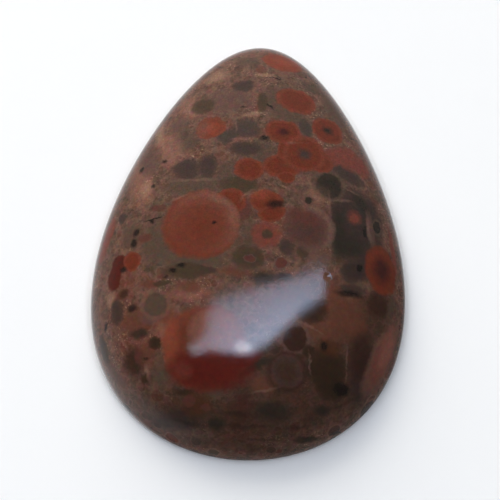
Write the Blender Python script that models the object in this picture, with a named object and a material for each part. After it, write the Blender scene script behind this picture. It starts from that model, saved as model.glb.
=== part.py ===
"""A teardrop cabochon of poppy jasper: one polished stone with a domed face and a flat back.

The stone lies on its back. The origin is on the back, in the middle of the stone's length and
width. +Z is up, out of the dome, and +Y points at the teardrop's tip. Lengths are in metres.
"""

import math

import bmesh
import bpy
from mathutils import Vector

# Driving dimensions of the cut stone
LENGTH = 0.042
WIDTH = 0.030
HEIGHT = 0.008

# The girdle is the widest level. Under it the back's edge is bevelled against chipping.
GIRDLE_HEIGHT = 0.0007
BACK_BEVEL = 0.0006

# How much narrower than an ellipse the tip end is. The belly gains what the tip loses.
TAPER = 0.295

# The top of the dome stands over the belly, this share of the length behind the middle.
CROWN_SET_BACK = 0.11

# The dome's section is a superellipse. 2 is a true ellipse and more is fuller at the shoulder.
SHOULDER_FULLNESS = 2.15

# Facets around the outline, and from the girdle up to the crown
FACETS_AROUND = 96
FACETS_UP = 20

# A step along the outline that is small enough to give its direction
TINY_TURN = 0.001

# Brick red of the poppies sunk in brown matrix, as one plain finish for the whole stone
JASPER_COLOUR = (0.135, 0.058, 0.040, 1.0)
POLISH_ROUGHNESS = 0.12


def clear_scene():
    for old in list(bpy.data.objects):
        bpy.data.objects.remove(old)


def outline_point(turn):
    """The teardrop's outline at the girdle. A turn of 0 is the tip, and of pi is the foot."""
    belly_cos = (1 - math.sqrt(1 + 8 * TAPER**2)) / (4 * TAPER)
    belly_reach = math.sqrt(1 - belly_cos**2) * (1 - TAPER * belly_cos)
    reach = math.sin(turn) * (1 - TAPER * math.cos(turn)) / belly_reach
    return Vector((WIDTH / 2 * reach, LENGTH / 2 * math.cos(turn), 0))


def turns():
    """The turns of the facets' corners, counter-clockwise as seen from above."""
    return [-2 * math.pi * step / FACETS_AROUND for step in range(FACETS_AROUND)]


def dome_ring(mesh, share, level):
    """The outline drawn in towards the crown to a share of its size, at a height."""
    crown = Vector((0, -CROWN_SET_BACK * LENGTH, 0))
    lift = Vector((0, 0, level))
    edges = [outline_point(turn) for turn in turns()]
    return [mesh.verts.new(crown + (edge - crown) * share + lift) for edge in edges]


def back_ring(mesh):
    """The edge of the flat back, which lies the bevel's width inside the girdle all round."""
    corners = []
    for turn in turns():
        along = outline_point(turn - TINY_TURN) - outline_point(turn + TINY_TURN)
        inward = Vector((-along.y, along.x, 0)).normalized()
        corners.append(mesh.verts.new(outline_point(turn) + inward * BACK_BEVEL))
    return corners


def join_rings(mesh, lower, upper):
    for step, corner in enumerate(lower):
        following = (step + 1) % FACETS_AROUND
        mesh.faces.new((corner, lower[following], upper[following], upper[step]))


def dome_section(climb):
    """The share of the outline and the height, for a climb of 0 at the girdle to 1 at the crown."""
    angle = climb * math.pi / 2
    power = 2 / SHOULDER_FULLNESS
    share = math.cos(angle) ** power
    rise = math.sin(angle) ** power
    return share, GIRDLE_HEIGHT + (HEIGHT - GIRDLE_HEIGHT) * rise


def jasper_material():
    material = bpy.data.materials.new("poppy_jasper")
    material.use_nodes = True
    surface = material.node_tree.nodes["Principled BSDF"]
    surface.inputs["Base Color"].default_value = JASPER_COLOUR
    surface.inputs["Roughness"].default_value = POLISH_ROUGHNESS
    surface.inputs["Metallic"].default_value = 0.0
    return material


def cut_cabochon():
    mesh = bmesh.new()
    back = back_ring(mesh)
    mesh.faces.new(reversed(back))
    lower = back
    for step in range(FACETS_UP):
        share, level = dome_section(step / FACETS_UP)
        upper = dome_ring(mesh, share, level)
        join_rings(mesh, lower, upper)
        lower = upper
    crown = mesh.verts.new((0, -CROWN_SET_BACK * LENGTH, HEIGHT))
    for step, corner in enumerate(lower):
        mesh.faces.new((corner, lower[(step + 1) % FACETS_AROUND], crown))
    stone = bpy.data.meshes.new("cabochon")
    mesh.to_mesh(stone)
    mesh.free()
    stone.shade_smooth()
    stone.set_sharp_from_angle(angle=math.radians(30))
    stone.materials.append(jasper_material())
    cabochon = bpy.data.objects.new("cabochon", stone)
    bpy.context.scene.collection.objects.link(cabochon)
    return cabochon


clear_scene()
cut_cabochon()
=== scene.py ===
# %% [markdown]
# # A poppy jasper cabochon
# The real object is one stone: a teardrop of orbicular jasper, sawn, ground to a dome, lapped flat
# behind and polished. Nothing is set around it. So the scene has one piece, and nearly all of the
# work is in its skin: brick red poppies, plum and olive orbs, and the grainy rock between them.
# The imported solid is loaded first. It gives the size that the finished stone has to keep.

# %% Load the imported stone
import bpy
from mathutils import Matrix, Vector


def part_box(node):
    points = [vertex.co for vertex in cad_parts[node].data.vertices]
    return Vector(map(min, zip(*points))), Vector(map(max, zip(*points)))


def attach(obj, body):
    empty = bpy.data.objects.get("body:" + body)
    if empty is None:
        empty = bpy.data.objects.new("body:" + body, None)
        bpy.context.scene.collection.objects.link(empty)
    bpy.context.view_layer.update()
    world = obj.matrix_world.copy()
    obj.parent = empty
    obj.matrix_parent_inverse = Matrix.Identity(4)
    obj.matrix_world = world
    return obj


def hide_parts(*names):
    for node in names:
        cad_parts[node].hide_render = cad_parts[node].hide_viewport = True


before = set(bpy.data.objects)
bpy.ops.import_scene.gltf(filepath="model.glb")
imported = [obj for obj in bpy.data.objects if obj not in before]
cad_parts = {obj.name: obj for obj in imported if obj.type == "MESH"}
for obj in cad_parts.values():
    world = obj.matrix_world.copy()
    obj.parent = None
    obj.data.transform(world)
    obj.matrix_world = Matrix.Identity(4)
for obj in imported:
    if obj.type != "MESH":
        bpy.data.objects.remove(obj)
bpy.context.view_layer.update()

# %% Bring in Blender and measure the solid
import math

import bpy
import numpy as np
from mathutils import Matrix, Vector, noise

MM = 0.001
low_corner, high_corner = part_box("cabochon")
WIDTH, LENGTH, HEIGHT = (high_corner - low_corner) / MM
print(f"solid: {WIDTH:.1f} x {LENGTH:.1f} x {HEIGHT:.1f} mm")

# %% [markdown]
# ## The camera
# The picture looks down on the dome from the foot's side, about 70 degrees above the table and
# turned a little to the right of the stone's length. A long lens keeps the outline's proportions.
# The camera could be parented to a target, but a view worked out from three named values is
# easier to read and to change.

# %% Set up the camera
CAMERA_ELEVATION = math.radians(70)
CAMERA_TURN = math.radians(3.18)
CAMERA_DISTANCE = 198.4 * MM
CAMERA_TARGET = Vector((-0.06, -1.02, 3.0)) * MM
LENS = 150
SENSOR = 36
NEAREST = 10 * MM

def from_above(elevation, turn):
    """The direction of a point that stands above the foot's side, turned to the right."""
    flat = math.cos(elevation)
    return Vector((math.sin(turn) * flat, -math.cos(turn) * flat, math.sin(elevation)))

def look_from(thing, place, target):
    """Put a camera or lamp at a place, so that it looks at the target."""
    thing.location = place
    thing.rotation_euler = (place - target).to_track_quat("Z", "Y").to_euler()

camera = bpy.data.objects.new("camera", bpy.data.cameras.new("camera"))
bpy.context.scene.collection.objects.link(camera)
camera.data.lens = LENS
camera.data.sensor_width = SENSOR
camera.data.clip_start = NEAREST
toward_camera = from_above(CAMERA_ELEVATION, CAMERA_TURN)
look_from(camera, CAMERA_TARGET + toward_camera * CAMERA_DISTANCE, CAMERA_TARGET)
bpy.context.scene.camera = camera
print("camera at", [round(value / MM, 1) for value in camera.location], "mm")

# %% [markdown]
# ## The form of the stone
# A cutter draws the teardrop from a template, grinds the outline, and then rolls the stone over
# the wheel until the dome runs smoothly from the girdle to the top. The same form is worked out
# here: an outline, and a section that is drawn in towards a point over the belly. A subdivided
# cage would give a softer dome, but not the same one. The formulas are those of the solid, with
# far more facets, so that the polish reflects without steps.

# %% Outline and section, as on the solid
GIRDLE_HEIGHT = 0.7
BACK_BEVEL = 0.6
TAPER = 0.295
CROWN_Y = -0.11 * LENGTH
SHOULDER_FULLNESS = 2.15
HALVINGS = 30

BELLY_COS = (1 - math.sqrt(1 + 8 * TAPER**2)) / (4 * TAPER)
BELLY_REACH = math.sqrt(1 - BELLY_COS**2) * (1 - TAPER * BELLY_COS)

def outline(turns):
    """The girdle's outline in mm. A turn of 0 is the tip, and of pi is the foot."""
    reach = np.sin(turns) * (1 - TAPER * np.cos(turns)) / BELLY_REACH
    return np.stack([WIDTH / 2 * reach, LENGTH / 2 * np.cos(turns)], axis=-1)

def half_width(y):
    """Half of the stone's width at a place along its length."""
    cos = min(1.0, abs(y) / (LENGTH / 2)) * math.copysign(1, y)
    return WIDTH / 2 * math.sqrt(1 - cos * cos) * (1 - TAPER * cos) / BELLY_REACH

def dome_section(climb):
    """Share of the outline and height in mm, for a climb from 0, the girdle, to 1, the crown."""
    power = 2 / SHOULDER_FULLNESS
    share = np.cos(climb * math.pi / 2) ** power
    rise = np.sin(climb * math.pi / 2) ** power
    return share, GIRDLE_HEIGHT + (HEIGHT - GIRDLE_HEIGHT) * rise

def dome_height(x, y):
    """The dome's height in mm over a place on the table, or the girdle's if it is outside."""
    inside, outside = 1.0, 0.0
    for _ in range(HALVINGS):
        share = (inside + outside) / 2
        edge_y = CROWN_Y + (y - CROWN_Y) / share
        fits = abs(edge_y) < LENGTH / 2 and abs(x) / share < half_width(edge_y)
        inside, outside = (share, outside) if fits else (inside, share)
    rise = (1 - inside**SHOULDER_FULLNESS) ** (1 / SHOULDER_FULLNESS)
    return GIRDLE_HEIGHT + (HEIGHT - GIRDLE_HEIGHT) * rise

print("dome over the middle of the table:", round(dome_height(0, 0), 2), "mm")

# %% [markdown]
# ## The stone's surface
# A hand-polished dome is never a perfect one. It has low swells a few millimetres apart, which
# bend the reflection of a window, and here a nick in the girdle and a few pits where a grain
# fell out. A bump map could fake them, but real facets hold them from every side. The swells
# are drawn from a smooth noise that gives the same stone on each run.

# %% Rings of corners from the middle of the back to the crown
FACETS_AROUND = 432
DOME_RINGS = 160
BACK_RINGS = 24
BEVEL_RINGS = 5
TINY_TURN = 0.001

turns = -2 * math.pi * np.arange(FACETS_AROUND) / FACETS_AROUND
girdle = outline(turns)
along = outline(turns - TINY_TURN) - outline(turns + TINY_TURN)
inward = np.stack([-along[:, 1], along[:, 0]], axis=-1)
inward /= np.linalg.norm(inward, axis=1, keepdims=True)
back_edge = girdle + inward * BACK_BEVEL

def ring(flat, level):
    """An outline in mm, lifted to a level."""
    return np.column_stack([flat, np.full(FACETS_AROUND, level)])

rings = []
for step in range(1, BACK_RINGS):
    rings.append(ring(back_edge * step / BACK_RINGS, 0.0))
for step in range(BEVEL_RINGS):
    out = step / BEVEL_RINGS
    rings.append(ring(back_edge + (girdle - back_edge) * out, GIRDLE_HEIGHT * out))
crown = np.array([0.0, CROWN_Y])
for step in range(DOME_RINGS):
    share, level = dome_section(step / DOME_RINGS)
    rings.append(ring(crown + (girdle - crown) * share, level))
corners = np.concatenate(rings + [[[0, 0, 0], [0, CROWN_Y, HEIGHT]]])
print(len(rings), "rings,", len(corners), "corners")

# %% Hand-polished swells, the nick and the pits
SWELL = 0.007
SWELL_WAVELENGTH = 4.5
NICK = np.array([-13.0, -13.9, 0.7])
NICK_RADIUS = 0.55
NICK_DEPTH = 0.16
# A pit is its place along x and y, its radius and its depth.
PITS = [(7.35, -4.75, 0.34, 0.07), (-5.2, 13.55, 0.22, 0.04), (-7.0, 7.4, 0.25, 0.03),
        (9.9, 3.2, 0.2, 0.03)]

def press_in(points, middle, radius, depth, towards):
    """Push the corners near a place towards a point, most at the middle."""
    far = np.linalg.norm(points - middle, axis=1) / radius
    push = depth * np.clip(1 - far**2, 0, 1) ** 1.5
    way = towards - middle
    points += push[:, None] * way / np.linalg.norm(way)

heart = np.array([0.0, CROWN_Y, 0.0])
on_dome = corners[:, 2] > GIRDLE_HEIGHT
outward = corners[on_dome] - heart
outward /= np.linalg.norm(outward, axis=1, keepdims=True)
swells = [noise.noise(Vector(point) / SWELL_WAVELENGTH) for point in corners[on_dome]]
corners[on_dome] += outward * SWELL * np.array(swells)[:, None]
for x, y, radius, depth in PITS:
    press_in(corners, np.array([x, y, dome_height(x, y)]), radius, depth, heart)
press_in(corners, NICK, NICK_RADIUS, NICK_DEPTH, heart)
print(len(PITS), "pits and a nick; highest corner", round(corners[:, 2].max(), 3), "mm")

# %% Join the rings into one closed mesh
def strip(lower, upper):
    """Quads between two rings, given by where each one starts."""
    steps = np.arange(FACETS_AROUND)
    following = (steps + 1) % FACETS_AROUND
    return np.column_stack([lower + steps, lower + following, upper + following, upper + steps])

starts = np.arange(len(rings)) * FACETS_AROUND
quads = [strip(lower, upper) for lower, upper in zip(starts[:-1], starts[1:])]
faces = np.concatenate(quads).tolist()
back_middle = len(corners) - 2
crown_corner = len(corners) - 1
last_ring = int(starts[-1])
for step in range(FACETS_AROUND):
    following = (step + 1) % FACETS_AROUND
    faces.append((following, step, back_middle))
    faces.append((last_ring + step, last_ring + following, crown_corner))

SHARP_EDGE = math.radians(25)
stone_mesh = bpy.data.meshes.new("polished_stone")
stone_mesh.from_pydata((corners * MM).tolist(), [], faces)
stone_mesh.shade_smooth()
stone_mesh.set_sharp_from_angle(angle=SHARP_EDGE)
polished_stone = bpy.data.objects.new("polished_stone", stone_mesh)
bpy.context.scene.collection.objects.link(polished_stone)
print("polished_stone:", sum(len(face) - 2 for face in faces), "triangles")

# %% [markdown]
# ## A bench for the rock
# The colours of jasper go right through the stone, and the saw only lays them open. So the rock
# is one solid pattern in the stone's own millimetres, not a picture on its surface: dome, rim and
# back are three cuts through the same orbs. It is built with shader nodes. They could be placed
# and wired by hand in the editor, but hundreds of them are easier to keep in order as text. The
# helpers below put a node on the bench and wire it up, so that a layer of rock reads as one line.

# %% A bench that nodes are put on
WHITE = [1.0, 1.0, 1.0, 1.0]

class Bench:
    """A node tree with short ways to put nodes on it and wire them up."""

    def __init__(self, tree):
        self.tree = tree

    def put(self, kind, inputs=None, **settings):
        """A new node with its settings, and its inputs given as values or as other outputs."""
        node = self.tree.nodes.new(kind)
        for name, value in settings.items():
            setattr(node, name, value)
        return self.fill(node, inputs or {})

    def fill(self, node, inputs):
        """Give a node its inputs: an output is wired up, and a value is set on the socket."""
        for socket, value in inputs.items():
            if isinstance(value, bpy.types.NodeSocket):
                self.tree.links.new(value, node.inputs[socket])
            else:
                node.inputs[socket].default_value = value
        return node

    def vector(self, operation, first, second=(0, 0, 0), third=(0, 0, 0)):
        """A sum with places or colours. Lengths, distances and dot products give one number."""
        node = self.put("ShaderNodeVectorMath", {0: first, 1: second, 2: third}, operation=operation)
        gives_number = operation in ("LENGTH", "DISTANCE", "DOT_PRODUCT")
        return node.outputs["Value" if gives_number else "Vector"]

    def sum_of(self, operation, first, second=0.0, third=0.0):
        """A sum with plain numbers."""
        values = {0: first, 1: second, 2: third}
        return self.put("ShaderNodeMath", values, operation=operation).outputs[0]

    def map_range(self, value, given, wanted, **settings):
        """The value, moved from its given range to a wanted one and held inside that."""
        values = {0: value, 1: given[0], 2: given[1], 3: wanted[0], 4: wanted[1]}
        return self.put("ShaderNodeMapRange", values, **settings).outputs[0]

    def blend(self, cover, under, over, mode="MIX"):
        """Lay one colour over another, by how much it covers."""
        values = {0: cover, 6: under, 7: over}
        return self.put("ShaderNodeMix", values, data_type="RGBA", blend_type=mode).outputs[2]

    def ramp(self, value, stops, blending="LINEAR"):
        """A colour ramp. Each stop is a position, a colour and how much it covers."""
        node = self.put("ShaderNodeValToRGB", {"Fac": value})
        node.color_ramp.interpolation = blending
        elements = node.color_ramp.elements
        while len(elements) < len(stops):
            elements.new(0.5)
        for element, (position, paint, cover) in zip(elements, stops):
            element.position = position
            element.color = paint[:3] + [cover]
        return node.outputs["Color"], node.outputs["Alpha"]

    def cover(self, value, stops):
        """How much a layer covers. Each stop is a position and a share."""
        return self.ramp(value, [(position, WHITE, share) for position, share in stops])[1]

    def cloud(self, place, scale, detail=2.0, roughness=0.5):
        """Smooth noise from 0 to 1. The scale is in swells a millimetre."""
        values = {"Vector": place, "Scale": scale, "Detail": detail, "Roughness": roughness}
        return self.put("ShaderNodeTexNoise", values).outputs

def colour(red, green, blue):
    """A colour given in the 0 to 255 steps of a screen, as the linear light that Blender uses."""
    steps = [value / 255 for value in (red, green, blue)]
    return [((s + 0.055) / 1.055) ** 2.4 if s > 0.04 else s / 12.92 for s in steps] + [1.0]

jasper = bpy.data.materials.new("poppy_jasper")
jasper.use_nodes = True
jasper.node_tree.nodes.clear()
rock = Bench(jasper.node_tree)
print("mid grey as linear light:", round(colour(128, 128, 128)[0], 3))

# %% [markdown]
# ## Colours of the jasper
# The names are a cutter's: brick for the poppies, plum and olive for the older orbs, tan for the
# grainy patches. They are the rock's own colours in even light, a little darker and stronger than
# the polished stone looks, because the gloss lays a pale veil over them.

# %% The palette
BRICK = colour(98, 45, 30)
BRICK_BRIGHT = colour(107, 53, 38)
DEEP_RED = colour(75, 29, 21)
DULL_RED = colour(85, 49, 42)
MAROON = colour(62, 31, 27)
MUD = colour(86, 61, 49)
PINK_BROWN = colour(104, 73, 62)
PALE_PINK = colour(128, 95, 82)
OLIVE_GREY = colour(79, 62, 51)
OLIVE = colour(66, 52, 39)
OLIVE_DARK = colour(50, 36, 26)
PLUM = colour(62, 48, 43)
PLUM_DARK = colour(54, 34, 27)
MAUVE = colour(89, 65, 57)
GREY = colour(66, 54, 48)
GREEN_BLACK = colour(44, 38, 31)
TAN = colour(150, 116, 94)
RUST = colour(92, 56, 43)
OCHRE = colour(72, 44, 28)
NEAR_BLACK = colour(27, 22, 19)
UMBER = colour(55, 37, 28)
SHADOW_PLUM = colour(54, 42, 38)
MAUVE_DARK = colour(72, 47, 42)
ROSE = colour(108, 56, 46)
CRIMSON = colour(82, 26, 19)
FLESH = colour(116, 73, 60)
PINK = colour(146, 98, 84)
ORANGE = colour(140, 70, 50)
print("brick as linear light:", [round(part, 3) for part in BRICK[:3]])

# %% [markdown]
# ## Where each point of the rock is
# Every layer asks for a place in millimetres. The orbs grew in soft ooze and their edges wander,
# so they read a place that is shaken a little: slow swells for the shape, quick ones for the
# ragged edge. One shared shake costs less than one for each orb.

# %% Steady and shaken places
stone_place = rock.put("ShaderNodeTexCoord").outputs["Object"]
steady = rock.vector("MULTIPLY", stone_place, (1 / MM,) * 3)

def shake(place, scale, amount, detail):
    """The place, pushed about by noise by up to half the amount each way."""
    centred = rock.vector("SUBTRACT", rock.cloud(place, scale, detail)["Color"], (0.5,) * 3)
    return rock.vector("MULTIPLY_ADD", centred, (amount,) * 3, place)

swaying = shake(steady, 0.6, 0.5, 1.0)
shaken = shake(swaying, 2.6, 0.3, 2.0)
print("places:", len(rock.tree.nodes), "nodes")

# %% [markdown]
# ## The ground mass
# Between the orbs lies silica that set as a mash of fine grains, pink-brown where iron is fine
# and olive grey where it is not. Slow noise lays out the patches, and small cells give each
# grain its own lightness. Noise alone would look like cloud, and cells alone like tiles.

# %% Patches and blotches
patches = rock.cloud(shaken, 0.34, 3.0, 0.6)["Fac"]
ground, _ = rock.ramp(patches, [
    (0.36, OLIVE_GREY, 1), (0.45, MUD, 1), (0.53, PINK_BROWN, 1), (0.62, RUST, 1)])
blotches = rock.cloud(steady, 1.3, 4.0, 0.65)["Fac"]
lighter = rock.cover(blotches, [(0.5, 0), (0.62, 0.8)])
ground = rock.blend(lighter, ground, PINK_BROWN)
darker = rock.cover(blotches, [(0.36, 0.8), (0.48, 0)])
ground = rock.blend(darker, ground, OLIVE)
print("patches and blotches:", len(rock.tree.nodes), "nodes")

# %% Grains and pale sparkling zones
GRAIN_STRENGTH = 0.28
grains = rock.put("ShaderNodeTexVoronoi", {"Vector": shaken, "Scale": 4.2}).outputs["Color"]
grain_light = rock.put("ShaderNodeSeparateColor", {"Color": grains}).outputs[0]
grain_colour, _ = rock.ramp(grain_light, [(0.0, PLUM, 1), (0.5, PINK_BROWN, 1), (1.0, PALE_PINK, 1)])
ground = rock.blend(GRAIN_STRENGTH, ground, grain_colour)
zones = rock.cloud(steady, 0.27, 2.0)["Fac"]
sparkle = rock.cloud(steady, 5.5, 2.0, 0.6)["Fac"]
in_zone = rock.cover(zones, [(0.5, 0), (0.6, 1)])
pale_grains = rock.cover(sparkle, [(0.56, 0), (0.7, 0.6)])
ground = rock.blend(rock.sum_of("MULTIPLY", in_zone, pale_grains), ground, TAN)
print("ground mass:", len(rock.tree.nodes), "nodes")

# %% [markdown]
# ## Orbs by the thousand
# The whole stone is crowded with small ghostly orbs, and only the largest can be placed one by one.
# A cell pattern puts one ball in each cell, with a random size and colour. These balls are faint
# in the ground of the dome, under the listed ones, and full on the rim and the back. A ball's
# colour ramp runs out to 1.3 times its radius, so that a soft rim fits on it.

# %% Ghost orbs
RAMP_REACH = 1.3

def orb_field(under, scale, show):
    """Lay a ball in every cell of a pattern. The scale is in cells a millimetre."""
    values = {"Vector": shaken, "Scale": scale, "Randomness": 0.85}
    cell = rock.put("ShaderNodeTexVoronoi", values).outputs
    kind, size, mood = rock.put("ShaderNodeSeparateColor", {"Color": cell["Color"]}).outputs
    radius = rock.sum_of("MULTIPLY_ADD", size, 0.26, 0.2)
    reach = rock.sum_of("DIVIDE", cell["Distance"], radius)
    reach = rock.sum_of("MULTIPLY", reach, 1 / RAMP_REACH)
    paint, _ = rock.ramp(kind, [
        (0.0, BRICK, 1), (0.24, DULL_RED, 1), (0.36, PLUM, 1), (0.52, OLIVE_GREY, 1),
        (0.68, GREEN_BLACK, 1), (0.8, MAUVE, 1), (0.9, OLIVE, 1)], "CONSTANT")
    ringed, _ = rock.ramp(reach, [(0.0, GREY, 1), (0.2, TAN, 1), (0.55, GREY, 1), (0.68, TAN, 1)])
    paint = rock.blend(rock.sum_of("MULTIPLY", mood, 0.6), paint, ringed, "SOFT_LIGHT")
    inside = rock.cover(reach, [(0.0, 1), (0.68, 0.95), (0.8, 0)])
    edge = rock.cover(reach, [(0.7, 0), (0.79, 0.7), (0.95, 0)])
    under = rock.blend(rock.sum_of("MULTIPLY", edge, show), under, PALE_PINK)
    return rock.blend(rock.sum_of("MULTIPLY", inside, show), under, paint)

level = rock.put("ShaderNodeSeparateXYZ", {0: steady}).outputs[2]
ground = orb_field(ground, 0.62, rock.map_range(level, (3.2, 1.6), (0.3, 1.0)))
ground = orb_field(ground, 0.3, rock.map_range(level, (3.0, 1.4), (0.0, 1.0)))
print("with ghost orbs:", len(rock.tree.nodes), "nodes")

# %% [markdown]
# ## Orbs
# Each orb is a ball of its own, squashed and turned, with its middle on the dome. The way from
# that middle, turned into the orb's own axes and divided by its sizes, has a length that is 1 at
# the orb's edge. A colour ramp over that length gives the core, the rings and the rim, and its
# alpha says where the orb covers what lies under it. All this sits in a node group, one for
# each recipe of rings, so that an orb is a single node in the rock. The grains push the place
# that an orb reads, so that its edge is ragged. Orbs are laid down oldest first, so that later
# ones overlap earlier ones as they do in the stone.

# %% A place for the orbs, pushed about by the grains
GRAIN_PUSH = 0.8
orb_place = rock.vector("MULTIPLY_ADD", ground, (GRAIN_PUSH,) * 3, shaken)
print("the palest grains push an edge by", round(GRAIN_PUSH * TAN[0], 2), "mm")

# %% A tool that makes a recipe of rings
def recipe(name, rings):
    """A node group that lays an orb of these rings. A ring is its reach, colour and cover.

    A recipe that has been made before is used again.
    """
    if name in bpy.data.node_groups:
        return bpy.data.node_groups[name]
    group = bpy.data.node_groups.new(name, "ShaderNodeTree")
    group.interface.new_socket(name="Under", in_out="INPUT", socket_type="NodeSocketColor")
    for socket in ("Place", "Middle", "Turn", "Share"):
        group.interface.new_socket(name=socket, in_out="INPUT", socket_type="NodeSocketVector")
    group.interface.new_socket(name="Rock", in_out="OUTPUT", socket_type="NodeSocketColor")
    orb = Bench(group)
    given = orb.put("NodeGroupInput").outputs
    away = orb.vector("SUBTRACT", given["Place"], given["Middle"])
    turned = orb.put("ShaderNodeVectorRotate", {"Vector": away, "Rotation": given["Turn"]},
                     rotation_type="EULER_XYZ", invert=True).outputs[0]
    reach = orb.vector("LENGTH", orb.vector("MULTIPLY", turned, given["Share"]))
    paint, cover = orb.ramp(reach, [(stop / RAMP_REACH, shade, part) for stop, shade, part in rings])
    orb.put("NodeGroupOutput", {0: orb.blend(cover, given["Under"], paint)})
    return group

# %% A tool that lays orbs
SLOPE_STEP = 0.05

def surface_axes(x, y, turn):
    """The turn, as a matrix, of an orb that lies in the dome at a place, spun by some degrees."""
    aside, ahead = x + SLOPE_STEP, y + SLOPE_STEP
    slope_x = (dome_height(aside, y) - dome_height(x - SLOPE_STEP, y)) / (2 * SLOPE_STEP)
    slope_y = (dome_height(x, ahead) - dome_height(x, y - SLOPE_STEP)) / (2 * SLOPE_STEP)
    out = Vector((-slope_x, -slope_y, 1)).normalized()
    right = Vector((0, 1, 0)).cross(out).normalized()
    axes = Matrix((right, out.cross(right), out)).transposed()
    return axes @ Matrix.Rotation(math.radians(turn), 3, "Z")

def lay_orb(under, kind, x, y, long, wide, turn=0):
    """Lay one orb over the rock. Long and wide are its half sizes in mm, turn its spin."""
    share = [1 / (size * RAMP_REACH) for size in (long, wide, min(long, wide))]
    values = {"Under": under, "Place": orb_place, "Middle": (x, y, dome_height(x, y)),
              "Turn": surface_axes(x, y, turn).to_euler(), "Share": share}
    return rock.put("ShaderNodeGroup", values, node_tree=kind).outputs[0]

def lay_layers(under, layers):
    """Lay layers of orbs, the oldest first. A layer is a recipe and the orbs made by it."""
    for kind, orbs in layers:
        for orb in orbs:
            under = lay_orb(under, kind, *orb)
    print("laid", sum(len(orbs) for _, orbs in layers), "orbs in", len(layers), "layers")
    return under

# %% Ready-made recipes, for any colour
def soft(name, shade):
    """A patch with no rim that fades into the rock around it."""
    return recipe("soft_" + name, [(0.0, shade, 0.9), (0.55, shade, 0.8), (1.15, shade, 0.0)])

def faint(name, shade):
    """A tint that the rock shows through."""
    return recipe("faint_" + name, [(0.0, shade, 0.5), (0.5, shade, 0.4), (1.2, shade, 0)])

def vein(name, shade):
    """A thin seam without a hard edge."""
    return recipe("vein_" + name, [(0.0, shade, 0.45), (0.5, shade, 0.3), (1.2, shade, 0)])

def plain(name, shade):
    """An orb of one colour with a blurred edge."""
    return recipe("plain_" + name, [
        (0.0, shade, 1), (0.65, shade, 0.92), (0.88, shade, 0.75), (1.18, shade, 0)])

def rimmed(name, shade, rim):
    """An orb in a thin pale rim."""
    return recipe("rimmed_" + name, [
        (0.0, shade, 1), (0.8, shade, 0.95), (0.97, rim, 0.7), (1.07, rim, 0.6), (1.22, rim, 0)])
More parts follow.
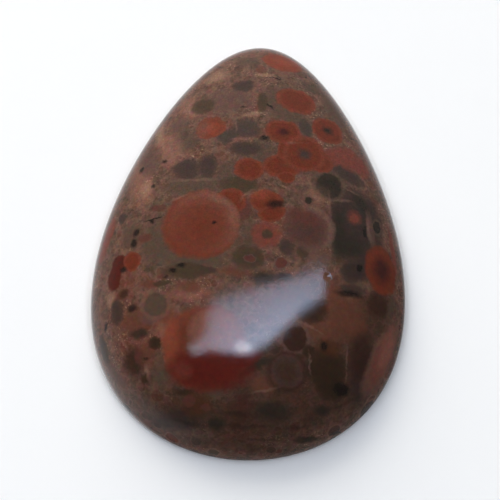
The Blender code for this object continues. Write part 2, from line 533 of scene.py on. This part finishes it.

# %% [markdown]
# ## Patches under the orbs, and painted shade at the foot
# The dome is not the same rock all over. The right side lies in a plum shadow, and an olive halo
# surrounds the great poppy. Broad umber patches darken the foot, the bottom edge and the lower
# right: painted shade there, over rock that is browner too. These patches could be one more slow
# noise, but noise doesn't fall where the real ones are. So they are orbs too, large ones without a
# rim, and they are laid first, because every other orb lies over them.

# %% Broad patches, with painted shade at the foot
rock_colour = lay_layers(ground, [
    # Umber: painted shade over the foot, the bottom edge and the lower right, on a browner rock.
    (faint("umber", UMBER), [
        (2.5, -16.8, 10.5, 3.8), (-6.5, -17.3, 4.6, 2.4, 8), (9.0, -12.8, 4.2, 3.8),
        (4.5, -12.5, 3.4, 3.2), (12.2, -7.4, 2.4, 2.8), (0.0, -19.0, 9.0, 2.4),
        (8.0, -14.0, 4.0, 3.6), (9.8, -8.6, 2.6, 2.4), (2.0, -13.4, 2.2, 2.0), (0.0, -17.6, 2.8, 1.5),
        (10.4, -9.2, 2.2, 2.0), (4.2, -15.6, 2.6, 1.1), (6.4, -17.2, 1.8, 1.0),
        (0.8, -15.8, 1.4, 1.0), (2.0, -20.4, 5.5, 0.9), (-4.0, -20.0, 3.0, 0.8, -12)]),
    (soft("shadow_plum", SHADOW_PLUM), [
        (9.0, 0.2, 2.6, 3.6, 8), (11.0, -0.8, 1.6, 2.8), (11.6, 2.4, 1.0, 2.2, 15),
        (11.2, -13.2, 1.6, 3.4, 5), (-5.6, -18.3, 3.6, 1.4, 8)]),
    (soft("olive_grey", OLIVE_GREY), [
        (-4.9, -0.9, 5.4, 4.9), (-8.7, -2.1, 1.9, 2.3), (-5.6, 3.9, 4.4, 1.1, 5),
        (-6.8, 8.6, 2.0, 1.3), (1.7, 13.4, 1.7, 2.1), (7.4, 13.4, 1.1, 2.8, 20),
        (-11.2, 5.0, 1.4, 2.2, 25), (-11.2, -1.0, 1.2, 1.6), (0.6, 7.4, 1.7, 1.6),
        (-7.4, -14.6, 1.2, 1.2), (0.2, -1.4, 0.9, 1.6), (10.1, -4.8, 1.2, 1.1),
        (-2.5, -16.1, 1.0, 0.6), (3.4, 11.6, 2.4, 0.9, -12), (-2.4, 5.4, 1.3, 1.1),
        (-1.2, 18.2, 1.4, 0.9), (-5.0, -4.0, 3.6, 0.6), (5.0, 15.6, 1.2, 0.7, -30)]),
    (soft("mud", MUD), [(4.2, -7.6, 3.4, 1.9, 25)]),
    (faint("rose", ROSE), [
        (-9.8, -11.5, 2.6, 3.4), (-5.3, -7.2, 2.2, 1.2), (-6.9, -10.7, 1.5, 1.6),
        (-11.5, -6.0, 1.6, 2.4)]),
    (faint("pink", PINK), [
        (-10.9, 4.6, 1.6, 3.2, 25), (-8.2, 8.0, 1.5, 2.2, 30), (-6.6, 12.6, 1.3, 2.0, 30),
        (-5.3, -7.2, 1.8, 0.8), (-6.9, -10.7, 1.1, 1.2)]),
    (soft("rust", RUST), [
        (8.9, -8.2, 2.6, 2.4), (7.0, -10.0, 1.9, 1.1), (-10.2, -9.6, 1.8, 1.2),
        (7.8, -5.9, 1.0, 1.5, 20), (2.0, -15.2, 1.3, 0.9), (-9.1, -6.1, 1.1, 0.5),
        (-9.0, -12.6, 1.0, 1.2), (-5.3, -6.6, 1.4, 0.7), (-1.2, -5.0, 1.8, 0.6),
        (-7.0, -9.6, 0.9, 1.4, 20), (10.4, -9.2, 1.3, 1.0)]),
    (soft("mauve", MAUVE), [
        (-10.2, 6.6, 1.0, 1.5, 30), (-2.8, 13.2, 2.5, 2.0), (-9.9, 7.3, 1.3, 1.8, 30),
        (-7.6, 10.6, 1.1, 1.2), (-8.7, -9.4, 1.2, 0.7), (0.1, -4.1, 2.0, 0.8), (6.6, -3.0, 1.3, 0.8),
        (-11.9, -14.0, 0.8, 1.8, 30)]),
    (faint("tan", TAN), [
        (-4.4, 16.3, 1.4, 1.0, 20), (-10.0, 3.8, 0.7, 1.0), (-9.3, 9.9, 0.6, 1.6, 25),
        (-0.3, 11.6, 1.0, 0.3, 12), (0.5, 16.4, 0.8, 0.3), (6.2, 3.6, 1.0, 1.0, 30),
        (-12.6, -7.2, 0.5, 1.0)])])

# %% [markdown]
# ## Dark orbs
# Orbs with little iron came out plum, grey, olive or nearly black. Many of them have lost their
# outline, so only a few get a rim, and the ready-made recipes serve for all but one.

# %% Plum, grey and olive orbs
purple_ringed = recipe("purple_ringed", [
    (0.0, UMBER, 0.7), (0.4, UMBER, 0.7), (0.66, PLUM, 0.6), (0.82, MAUVE_DARK, 0.7),
    (0.97, PLUM_DARK, 0.75), (1.2, PLUM_DARK, 0)])
rock_colour = lay_layers(rock_colour, [
    (plain("plum", PLUM), [
        (-6.3, 5.6, 1.3, 1.2), (-4.3, 5.8, 0.9, 1.25), (-1.5, 14.9, 1.1, 0.7, 5),
        (-0.9, 7.7, 1.5, 0.75), (-12.2, 1.0, 0.5, 0.6), (8.9, 6.2, 2.0, 0.8, -20),
        (9.5, -4.1, 0.9, 1.0), (-4.1, -4.9, 1.2, 0.4), (3.5, -2.2, 0.7, 0.9, 15),
        (-12.0, -8.5, 0.75, 1.3), (9.9, -5.6, 1.3, 0.5)]),
    (plain("grey", GREY), [
        (-0.9, 9.9, 1.35, 1.1), (-2.7, 9.0, 1.0, 0.8, 30), (4.75, 10.5, 0.6, 1.1, 15),
        (-13.1, -11.8, 0.6, 1.5, 10)]),
    (plain("shadow_plum", SHADOW_PLUM), [(10.1, 1.1, 2.6, 3.9, 8), (10.3, -3.6, 1.6, 1.0)]),
    (rimmed("dark_plum", PLUM_DARK, MAUVE), [(4.75, -10.9, 1.25, 1.3)]),
    (soft("dark_plum", PLUM_DARK), [(10.9, -11.7, 1.5, 2.7, 6), (12.3, -6.6, 1.7, 1.5)]),
    (purple_ringed, [(4.1, -13.9, 1.75, 1.75)]),
    (rimmed("green_black", GREEN_BLACK, OLIVE_GREY), [(7.2, 4.6, 1.5, 1.5), (11.9, 1.3, 0.45, 0.9)]),
    (soft("green_black", GREEN_BLACK), [
        (8.3, -0.4, 0.8, 3.2, 2), (10.3, 3.4, 0.7, 1.3, 30), (9.3, -1.4, 1.5, 1.5),
        (1.6, -5.5, 1.5, 0.7, 4), (3.4, -5.2, 0.9, 0.5), (3.1, -17.3, 2.1, 1.2),
        (1.2, -13.7, 1.9, 0.5, 32), (-9.7, -10.8, 1.1, 0.55), (-2.0, -18.7, 1.0, 0.8),
        (7.6, -16.8, 1.0, 0.6, 10), (6.3, -19.2, 1.4, 0.5, 20)]),
    (plain("olive", OLIVE), [
        (-5.3, 12.7, 1.2, 1.0), (-1.2, 3.8, 1.7, 1.0), (-5.7, -5.0, 2.2, 0.75),
        (-7.9, -6.1, 0.9, 0.3), (5.0, -2.6, 0.65, 0.6), (0.4, 12.9, 0.5, 1.2)]),
    (rimmed("olive_mauve", OLIVE_GREY, PINK_BROWN), [(-8.3, -8.2, 1.35, 1.3)]),
    (soft("mauve", MAUVE), [(11.3, 0.8, 0.5, 2.0, 6)]),
    (plain("umber", UMBER), [(6.2, -8.3, 1.5, 1.1, 28)]),
    (plain("dark_olive", OLIVE_DARK), [
        (7.8, -13.3, 1.95, 1.9), (8.3, -14.8, 1.4, 1.1), (-8.1, -11.7, 0.7, 0.6),
        (6.0, -11.9, 0.6, 0.6)]),
    (soft("dark_olive", OLIVE_DARK), [
        (-10.1, -13.3, 1.3, 1.6), (-11.4, -6.9, 0.7, 0.5), (-8.8, -14.9, 0.6, 0.6),
        (-5.2, -16.1, 1.2, 0.4)]),
    (soft("ochre", OCHRE), [(-3.9, -17.1, 1.6, 1.5), (7.9, -11.3, 1.3, 0.9)])])

# %% [markdown]
# ## Poppies
# The red orbs give the jasper its name. They are iron oxide around a seed, and no two are alike:
# some are plain with a brighter rim, some have a dark core, and the large one at the foot is deep
# red below with a flesh-coloured disc above. The faded ones are older, so the bright ones come
# after them.

# %% Recipes for the poppies
poppy = recipe("poppy", [
    (0.0, BRICK, 1), (0.7, BRICK, 1), (0.86, BRICK_BRIGHT, 1), (0.97, BRICK_BRIGHT, 0.85),
    (1.1, BRICK_BRIGHT, 0)])
faded_poppy = recipe("faded_poppy", [
    (0.0, DULL_RED, 0.95), (0.75, DULL_RED, 0.8), (1.15, DULL_RED, 0)])
dark_poppy = recipe("dark_poppy", [
    (0.0, MAROON, 1), (0.3, DEEP_RED, 1), (0.85, DEEP_RED, 0.95), (1.1, DEEP_RED, 0)])
edge_poppy = recipe("edge_poppy", [
    (0.0, MAROON, 1), (0.25, MAROON, 1), (0.75, BRICK, 1), (0.95, BRICK, 0.9), (1.1, BRICK, 0)])

def cored(name, core, size):
    """A poppy with a dark core of a given size."""
    return recipe("cored_" + name, [
        (0.0, core, 1), (size * 0.5, core, 1), (size * 1.6, BRICK, 1), (0.78, BRICK, 1),
        (0.88, BRICK_BRIGHT, 1), (0.98, BRICK_BRIGHT, 0.85), (1.1, BRICK_BRIGHT, 0)])

print("recipes so far:", len(bpy.data.node_groups))

# %% Faded and dark poppies
rock_colour = lay_layers(rock_colour, [
    (faded_poppy, [
        (-9.8, -1.5, 0.8, 0.5), (-8.8, 1.5, 0.9, 0.4), (-0.6, 1.4, 0.7, 1.4), (-9.6, -12.9, 0.5, 0.9)]),
    (plain("rose", ROSE), [
        (9.0, 8.0, 1.9, 1.3, -20), (7.4, 7.8, 1.0, 0.9), (10.3, 7.4, 0.9, 1.1),
        (-13.7, -0.9, 0.75, 2.5, -12), (13.5, -0.6, 0.4, 2.4, 6), (1.6, -1.1, 1.35, 1.3)]),
    (plain("pink_brown", PINK_BROWN), [(12.9, -11.5, 1.5, 3.7, -14)]),
    (soft("rose", ROSE), [(13.0, -11.2, 1.2, 3.2, -14)]),
    (faint("pink", PINK), [(13.3, -10.6, 1.0, 2.6, -12)]),
    (soft("olive_grey", OLIVE_GREY), [(13.5, -6.7, 0.6, 1.7, -5)]),
    (plain("olive_core", OLIVE), [(1.6, -1.1, 0.5, 0.45), (0.0, -3.5, 1.5, 1.2)]),
    (rimmed("dull_red", DULL_RED, MAUVE), [(3.1, -3.9, 0.7, 0.6), (0.1, -3.6, 0.5, 0.4)]),
    (plain("pale_edge", PALE_PINK), [(5.65, -0.2, 2.15, 2.0)]),
    (plain("mauve", MAUVE_DARK), [(5.35, -0.3, 2.2, 2.05)]),
    (faded_poppy, [(4.9, 1.0, 1.7, 0.9, -15)]),
    (faint("pale_zone", PINK_BROWN), [(5.6, 3.2, 1.9, 1.5)]),
    (rimmed("green_core", GREEN_BLACK, OLIVE_GREY), [(5.3, 2.8, 0.5, 0.45)]),
    (dark_poppy, [(-12.5, -5.2, 0.8, 1.4), (-12.1, -3.8, 0.9, 0.8)]),
    (faint("maroon", MAROON), [(0.1, -17.0, 1.2, 1.3)]),
    (edge_poppy, [(12.5, -3.1, 1.8, 2.4, 10)])])

# %% The bright poppies
rock_colour = lay_layers(rock_colour, [
    (poppy, [
        (2.2, 18.4, 2.0, 1.4, -12), (3.7, 13.6, 1.95, 1.5, -14), (-4.4, 10.0, 1.5, 1.25),
        (-0.4, 5.5, 1.4, 1.2), (2.7, 6.1, 1.8, 1.25), (3.2, 4.9, 0.8, 0.6), (1.4, 2.3, 1.5, 1.1),
        (1.9, 1.0, 1.3, 0.8, 10), (-10.9, -3.8, 0.9, 1.0), (2.7, 7.9, 0.6, 1.2), (6.2, 7.0, 1.3, 1.1)]),
    (faded_poppy, [(9.6, 1.7, 0.85, 0.8)]),
    (plain("rose", ROSE), [(9.6, 1.7, 0.5, 0.45)]),
    (cored("maroon", MAROON, 0.3), [(2.6, 9.8, 1.7, 1.3)]),
    (cored("olive", OLIVE_DARK, 0.28), [(6.85, 10.75, 1.65, 1.45)]),
    (cored("plum", PLUM, 0.27), [(4.7, 7.6, 2.1, 1.9, 20)])])

# %% The great poppy, with a pale crescent beside its inner disc
rock_colour = lay_layers(rock_colour, [
    (poppy, [(-1.9, 2.1, 1.4, 1.3)]),
    (poppy, [(-4.65, -0.3, 3.55, 3.4)]),
    (plain("pale_edge", PALE_PINK), [(-4.35, -0.1, 3.0, 2.85)]),
    (plain("brick", BRICK), [(-4.75, -0.5, 3.2, 3.1)])])

# %% The hollow poppy at the foot
rock_colour = lay_layers(rock_colour, [
    (poppy, [(-3.5, -12.2, 3.8, 3.8)]),
    (faint("inner_ring", MUD), [(-3.3, -11.6, 2.9, 2.9)]),
    (plain("crimson", CRIMSON), [(-2.9, -14.2, 3.9, 1.9), (0.5, -13.0, 1.4, 0.7, 20)]),
    (faint("rose", ROSE), [(-5.4, -14.2, 1.0, 0.9)]),
    (faint("hollow_edge", PINK), [(-2.6, -10.6, 2.3, 2.1)]),
    (plain("flesh", FLESH), [(-2.9, -10.6, 2.1, 1.9)]),
    (faded_poppy, [(-4.7, -16.8, 0.6, 0.5), (-3.1, -17.3, 0.5, 0.4)])])

# %% [markdown]
# ## Specks and veins
# The youngest marks are grains of black ore, dark seams along the foot, and pale veins as fine as
# a hair, where quartz filled cracks. A vein could be drawn as a curve, but an orb that is ten
# times as long as it is wide does the same with the tool at hand. They cut through all the rest.

# %% Specks, dark seams and pale veins
rock_colour = lay_layers(rock_colour, [
    (soft("near_black", NEAR_BLACK), [
        (-3.3, -0.1, 0.3, 0.25), (0.8, 8.9, 0.5, 0.3), (-10.8, -1.9, 0.35, 0.6),
        (-10.7, -0.9, 0.3, 0.5), (-11.7, -4.6, 0.5, 0.35), (-10.5, -8.4, 0.6, 0.5),
        (-1.4, 12.4, 0.5, 0.14), (1.1, 12.6, 0.6, 0.15, -35), (2.3, 2.0, 0.9, 0.5, 8),
        (7.4, -11.3, 0.4, 0.6), (10.4, -3.4, 0.35, 0.5), (9.6, -6.1, 1.6, 0.45),
        (-8.9, -13.1, 0.5, 0.2), (-8.6, 6.6, 0.4, 0.2), (-10.8, 6.2, 0.3, 0.4),
        (-9.4, 4.0, 0.3, 0.25), (-6.2, -4.4, 0.6, 0.3), (-7.0, -4.9, 0.5, 0.3),
        (-9.4, 0.35, 1.7, 0.1, 14), (-9.2, 0.2, 0.35, 0.3), (2.4, 15.8, 2.6, 0.09, -12),
        (2.0, 15.1, 1.8, 0.08, -10), (9.2, -14.8, 0.9, 0.7), (-13.0, -9.8, 0.3, 0.5),
        (-7.6, -5.6, 0.4, 0.2), (10.8, 0.4, 0.3, 0.8)]),
    (vein("near_black", NEAR_BLACK), [
        (0.5, -18.8, 3.2, 0.28, 2), (5.4, -18.4, 2.2, 0.25, 16), (-4.8, -18.6, 2.0, 0.25, -14),
        (1.8, -19.7, 2.6, 0.2, 5), (9.6, -15.9, 1.6, 0.22, 40), (-0.6, -17.8, 2.0, 0.3, -4)]),
    (faint("orange", ORANGE), [
        (2.2, 18.4, 1.9, 1.3), (-6.7, -11.3, 0.9, 2.6), (0.9, 2.9, 1.0, 0.7), (-4.4, 9.9, 1.2, 1.0)]),
    (faint("dusty", PINK_BROWN), [(-5.2, 10.0, 1.0, 1.2)]),
    (vein("pale_pink", PALE_PINK), [
        (-1.9, 10.1, 0.14, 0.8), (-0.3, 3.0, 1.3, 0.16, 48), (3.0, 3.9, 1.1, 0.16, -25),
        (3.8, 8.7, 1.2, 0.16, 10), (-1.3, 8.7, 1.4, 0.18, 4), (-5.6, 4.35, 2.8, 0.2),
        (-0.5, 11.4, 1.9, 0.22, 12), (7.3, 2.6, 0.2, 1.7, 6), (6.2, -12.9, 0.14, 1.2, 12),
        (6.0, -9.7, 1.5, 0.16, -20), (9.6, -12.6, 0.14, 1.8, 8), (2.2, -15.7, 1.4, 0.18, 15),
        (-6.9, 2.4, 1.2, 0.18, 25), (9.8, 4.4, 1.6, 0.14, -12), (-8.7, -14.3, 0.2, 1.2, 10),
        (0.5, 16.3, 1.2, 0.14, -8), (11.1, 0.9, 0.22, 1.7, 6), (5.0, 4.5, 1.1, 0.16, 8),
        (-11.2, -11.4, 0.18, 1.4, 20), (8.6, 3.2, 1.1, 0.2, 8)])])

# %% [markdown]
# ## Grain over everything
# Under a lens no orb is of one flat colour. A noise makes the rock a little lighter and darker in
# patches of half a millimetre, and pale specks are painted into the colour wherever the rock is
# light: painted glints, for grains that catch the light. The rock is coarser towards the tip, so a
# finer speckle grows along the stone. The grain runs through orbs and ground alike, so it is laid
# over the finished orbs once, and not built into each of them.

# %% Mottling and painted glints
PAINTED_GLINT = colour(190, 158, 132)
MOTTLE_SPAN = (1.1, 0.95, 0.95)
MOTTLE_LOW = (0.45, 0.525, 0.525)
blots = rock.cloud(steady, 1.9, 5.0, 0.7)["Color"]
mottle = rock.vector("MULTIPLY_ADD", blots, MOTTLE_SPAN, MOTTLE_LOW)
mottled = rock.vector("MULTIPLY", rock_colour, mottle)
lightness = rock.put("ShaderNodeRGBToBW", {0: rock_colour}).outputs[0]
light_parts = rock.map_range(lightness, (0.075, 0.13), (0.0, 1.0))
# Painted glints: pale specks in the colour where the sparkle noise is high and the rock is light.
glints = rock.cover(sparkle, [(0.62, 0), (0.74, 0.45)])
glinting = rock.blend(rock.sum_of("MULTIPLY", glints, light_parts), mottled, PAINTED_GLINT)
print("mottled and glinting:", len(rock.tree.nodes), "nodes")

# %% Speckles that grow towards the tip
along_stone = rock.put("ShaderNodeSeparateXYZ", {0: steady}).outputs[1]
toward_tip = rock.map_range(along_stone, (-8.0, 3.0), (0.0, 1.1))
speckle = rock.sum_of("SUBTRACT", rock.cloud(steady, 6.0, 3.0, 0.75)["Fac"], 0.5)
speckled = rock.sum_of("MULTIPLY_ADD", speckle, toward_tip, 1.0)
finished_colour = rock.vector("MULTIPLY", glinting, speckled)
print("colour of the rock:", len(rock.tree.nodes), "nodes")

# %% [markdown]
# ## Polish
# Jasper is fine quartz and takes a high gloss. Its light bends by 1.54, which is set on the
# shader itself. The grains are of slightly different hardness, so the polish is a little uneven:
# noise moves the roughness, and a faint bump keeps the reflection from being a mirror's. The
# back was only lapped, so it is duller, with fine scratches.

# %% Roughness, high gloss above and lapped behind
POLISHED = (0.045, 0.11)
LAPPED = 0.38
DOWNWARD = -0.8
facing = rock.put("ShaderNodeNewGeometry").outputs["Normal"]
upward = rock.put("ShaderNodeSeparateXYZ", {0: facing}).outputs[2]
faces_down = rock.sum_of("LESS_THAN", upward, DOWNWARD)
uneven = rock.cloud(steady, 1.8, 3.0, 0.6)["Fac"]
polish = rock.map_range(uneven, (0.3, 0.7), POLISHED)
dullness = rock.sum_of("MAXIMUM", polish, rock.sum_of("MULTIPLY", faces_down, LAPPED))
print("roughness:", POLISHED, "on the dome,", LAPPED, "on the back")

# %% Grain relief above and lapping scratches behind
GRAIN_DEPTH = 0.02
SCRATCH_DEPTH = 0.03
SCRATCH_STRETCH = (7.0, 0.4, 1.0)
grain_relief = rock.cloud(steady, 7.0, 3.0)["Fac"]
values = {"Strength": 0.25, "Distance": GRAIN_DEPTH * MM, "Height": grain_relief}
grain_bump = rock.put("ShaderNodeBump", values).outputs[0]
scratched = rock.vector("MULTIPLY", steady, SCRATCH_STRETCH)
lapping = rock.sum_of("MULTIPLY", rock.cloud(scratched, 1.0, 4.0)["Fac"], faces_down)
values = {"Strength": 0.5, "Distance": SCRATCH_DEPTH * MM, "Height": lapping, "Normal": grain_bump}
finish_bump = rock.put("ShaderNodeBump", values).outputs[0]
print("grain", GRAIN_DEPTH, "mm deep, scratches", SCRATCH_DEPTH, "mm")

# %% The finished material
QUARTZ_IOR = 1.54
values = {"Base Color": finished_colour, "Roughness": dullness, "IOR": QUARTZ_IOR,
          "Normal": finish_bump}
surface = rock.put("ShaderNodeBsdfPrincipled", values)
rock.put("ShaderNodeOutputMaterial", {"Surface": surface.outputs[0]})
stone_mesh.materials.append(jasper)
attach(polished_stone, "root")
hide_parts("cabochon")
print("rock:", len(rock.tree.nodes), "nodes,", len(bpy.data.node_groups), "recipes")

# %% [markdown]
# ## The table
# The stone lies on plain white card. A single flat face will do, so wide that its edge is out of
# the picture. It takes the light and the shadow but is hidden from reflections, because it would
# lay too pale a veil over the rim. The glow of the room takes its place there, and that can be
# made weaker or stronger by direction.

# %% The white card
TABLE = 1500
TABLE_WHITE = (0.93, 0.94, 0.955, 1)
CARD_ROUGHNESS = 0.9
CARD_SPECULAR = 0.1

def staged(name, points, shade, glow=0.0):
    """A flat card of the stage, through points in mm."""
    mesh = bpy.data.meshes.new(name)
    mesh.from_pydata([Vector(point) * MM for point in points], [], [range(len(points))])
    card = bpy.data.objects.new(name, mesh)
    bpy.context.scene.collection.objects.link(card)
    finish = bpy.data.materials.new(name)
    finish.use_nodes = True
    skin = finish.node_tree.nodes["Principled BSDF"]
    skin.inputs["Base Color"].default_value = shade
    skin.inputs["Roughness"].default_value = CARD_ROUGHNESS
    skin.inputs["Specular IOR Level"].default_value = CARD_SPECULAR
    skin.inputs["Emission Color"].default_value = shade
    skin.inputs["Emission Strength"].default_value = glow
    mesh.materials.append(finish)
    return card

table_corners = [(-TABLE, -TABLE, 0), (TABLE, -TABLE, 0), (TABLE, TABLE, 0), (-TABLE, TABLE, 0)]
table = staged("table", table_corners, TABLE_WHITE)
table.visible_glossy = False
print("table:", 2 * TABLE, "mm square")

# %% [markdown]
# ## The window above
# A gloss is judged by what it reflects, and this one shows a slanting window, brightest along its
# lower edge and dimmer up the pane and towards both ends. A square area lamp would reflect as a
# square. So the window is a glowing card, cut to the outline that the dome bends into the right
# highlight. It is seen in the gloss alone and doesn't light the rock. Two small bright cards
# under its lower edge are gaps that let the bare sky through.

# %% The pane
WINDOW_HEIGHT = 500
WINDOW = [(-186, -95), (-139, -96), (-115, -73), (-64, -82), (10, -80), (62, -31), (134, 51), (256, 135),
          (263, 218), (133, 164), (46, 136), (-92, 84), (-113, 42), (-117, -17)]
WINDOW_BLUE = (0.62, 0.8, 1.15, 1)
UP_THE_PANE = (-0.62 / MM, 0.78 / MM, 0)
PANE_EDGES = (-60, 110)
GLOW_UP_THE_PANE = (6.8, 1.7)
PANE_MIDDLE = (60 * MM, 20 * MM, WINDOW_HEIGHT * MM)
WAY_TO_THE_ENDS = (60 * MM, 230 * MM)
GLOW_TO_THE_ENDS = (1.04, 0.63)

window = staged("window", [(x, y, WINDOW_HEIGHT) for x, y in WINDOW], WINDOW_BLUE)
window.visible_diffuse = False
pane = Bench(window.data.materials[0].node_tree)
on_pane = pane.put("ShaderNodeTexCoord").outputs["Object"]
up_the_pane = pane.vector("DOT_PRODUCT", on_pane, UP_THE_PANE)
dimming = pane.map_range(up_the_pane, PANE_EDGES, GLOW_UP_THE_PANE)
from_middle = pane.vector("DISTANCE", on_pane, PANE_MIDDLE)
ends = pane.map_range(from_middle, WAY_TO_THE_ENDS, GLOW_TO_THE_ENDS)
brightness = pane.sum_of("MULTIPLY", dimming, ends)
pane.fill(pane.tree.nodes["Principled BSDF"], {"Emission Strength": brightness})
print("window:", len(WINDOW), "corners,", WINDOW_HEIGHT, "mm above the table")

# %% Gaps under the window
GAP_HEIGHT = 495
GAP_SKY = (0.85, 0.93, 1, 1)
GAPS = {"bright_gap": (85, [(-19, -64), (-5, -64), (-10, -48)]),
        "left_gap": (45, [(-173, -91), (-160, -89), (-164, -79)])}
for name, (strength, gap_corners) in GAPS.items():
    gap = staged(name, [(x, y, GAP_HEIGHT) for x, y in gap_corners], GAP_SKY, strength)
    gap.visible_diffuse = False
    print(name, "glows at", strength)

# %% [markdown]
# ## Lamps and the room
# The light is that of a dull day indoors: a large cool lamp for the sky overhead, a warm one for
# a window low behind the stone, and a weak one beside that, which throws the soft shadow to the
# right and below. They are hidden from the gloss, which has the window's card to show. A fourth
# lamp shines up from below and keeps the underside of the card white. The flat back lies in the
# plane of the card, which shades it, so it looks dark in a view from below. The room is the
# world's glow. It differs by direction: brighter behind the stone and below it, where the rim
# reflects white card, and brighter again on a pale wall at the left.

# %% Lamps
COOL = (0.92, 0.97, 1.06)
WARM = (1.08, 1.03, 0.94)

def lamp(name, elevation, turn, distance, size, power, tint):
    """A square lamp that looks at the stone. Its way is in degrees and its sizes in mm."""
    light = bpy.data.lights.new(name, "AREA")
    light.size = size * MM
    light.energy = power
    light.color = tint
    thing = bpy.data.objects.new(name, light)
    bpy.context.scene.collection.objects.link(thing)
    place = from_above(math.radians(elevation), math.radians(turn)) * distance * MM
    look_from(thing, place, Vector((0, 0, 0)))
    thing.visible_glossy = False
    print(name, power, "W")

lamp("sky_above", 85, 0, 700, 600, 3.9, COOL)
lamp("window_behind", 20, 200, 700, 900, 6.6, WARM)
lamp("soft_lamp_behind", 52, 215, 600, 350, 0.7, WARM)
lamp("lamp_under_the_table", -70, 0, 700, 600, 4.0, WARM)

# %% The glow of the room
ROOM_TINT = (0.95, 0.97, 1.0, 1)
WAY_BEHIND = (-0.55, 0.83, 0)
WAY_LEFT = (-0.9, -0.35, 0)

room = bpy.data.worlds.new("dim_room")
bpy.context.scene.world = room
room.use_nodes = True
air = Bench(room.node_tree)
direction = air.put("ShaderNodeTexCoord").outputs["Generated"]
_, rearward, skyward = air.put("ShaderNodeSeparateXYZ", {0: direction}).outputs
far_wall = air.map_range(rearward, (0.2, 1.1), (0.04, 0.3), interpolation_type="SMOOTHSTEP")
below = air.map_range(skyward, (-0.25, -0.92), (0.0, 1.0))
behind = air.map_range(air.vector("DOT_PRODUCT", direction, WAY_BEHIND), (-0.05, 0.3), (0.12, 0.9))
left_wall = air.map_range(air.vector("DOT_PRODUCT", direction, WAY_LEFT), (0.5, 0.9), (0.0, 0.5))
wall_foot = air.map_range(skyward, (0.35, -0.05), (0.0, 1.0))
glow = air.sum_of("MULTIPLY_ADD", below, behind, far_wall)
glow = air.sum_of("MULTIPLY_ADD", left_wall, wall_foot, glow)
air.fill(air.tree.nodes["Background"], {"Strength": glow, "Color": ROOM_TINT})
bpy.context.scene.view_settings.view_transform = "Standard"
print("room:", len(air.tree.nodes), "nodes")
